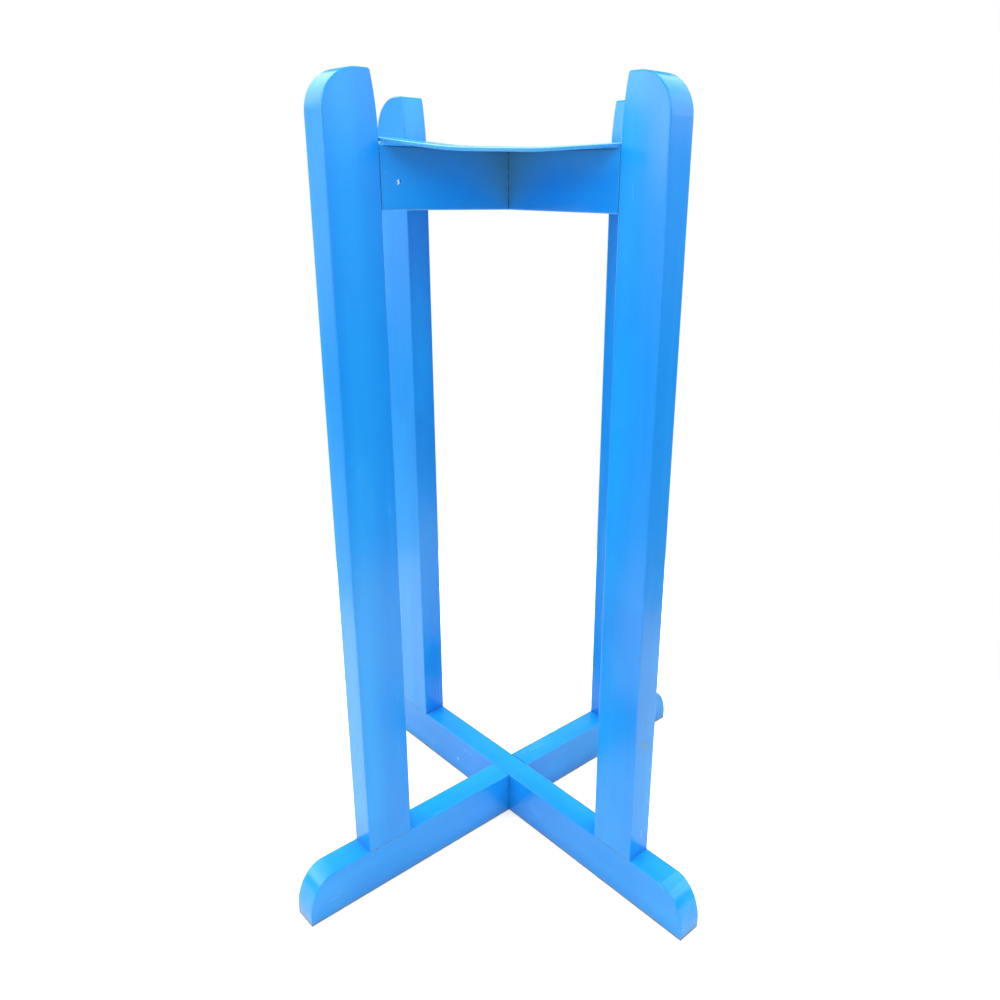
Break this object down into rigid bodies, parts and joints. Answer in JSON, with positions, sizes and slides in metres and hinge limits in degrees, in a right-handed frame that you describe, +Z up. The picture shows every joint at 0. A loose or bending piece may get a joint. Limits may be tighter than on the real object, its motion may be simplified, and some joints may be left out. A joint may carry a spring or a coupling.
{
  "type": "crock stand",
  "caption": "Four-legged painted wooden floor stand: two slotted frames of uprights and rails carry a thin round plate, on which a water crock or dispenser stands.",
  "frame": {"origin": "on the floor, under the crossing of the two foot rails", "axes": "+Z up; the two frames stand in the XZ and YZ planes, and the rail along X is the upper one of each crossing"},
  "size_m": [0.485, 0.485, 0.7],
  "materials": {
    "painted_timber": "satin azure-blue paint over planed timber",
    "painted_plate": "satin azure-blue paint over thin board",
    "dowel_wood": "bare beech",
    "screw_steel": "zinc-plated steel"
  },
  "bodies": {
    "root": {"upright_front_right": "painted_timber", "upright_back_right": "painted_timber", "upright_back_left": "painted_timber", "upright_front_left": "painted_timber", "foot_rail_x": "painted_timber", "foot_rail_y": "painted_timber", "top_rail_x": "painted_timber", "top_rail_y": "painted_timber", "seat_plate": "painted_plate", "foot_dowels_front_right": "dowel_wood", "foot_dowels_back_right": "dowel_wood", "foot_dowels_back_left": "dowel_wood", "foot_dowels_front_left": "dowel_wood", "top_dowels_front_right": "dowel_wood", "top_dowels_back_right": "dowel_wood", "top_dowels_back_left": "dowel_wood", "top_dowels_front_left": "dowel_wood", "plate_screw_front_right": "screw_steel", "plate_screw_back_right": "screw_steel", "plate_screw_back_left": "screw_steel", "plate_screw_front_left": "screw_steel"}
  },
  "joints": []
}
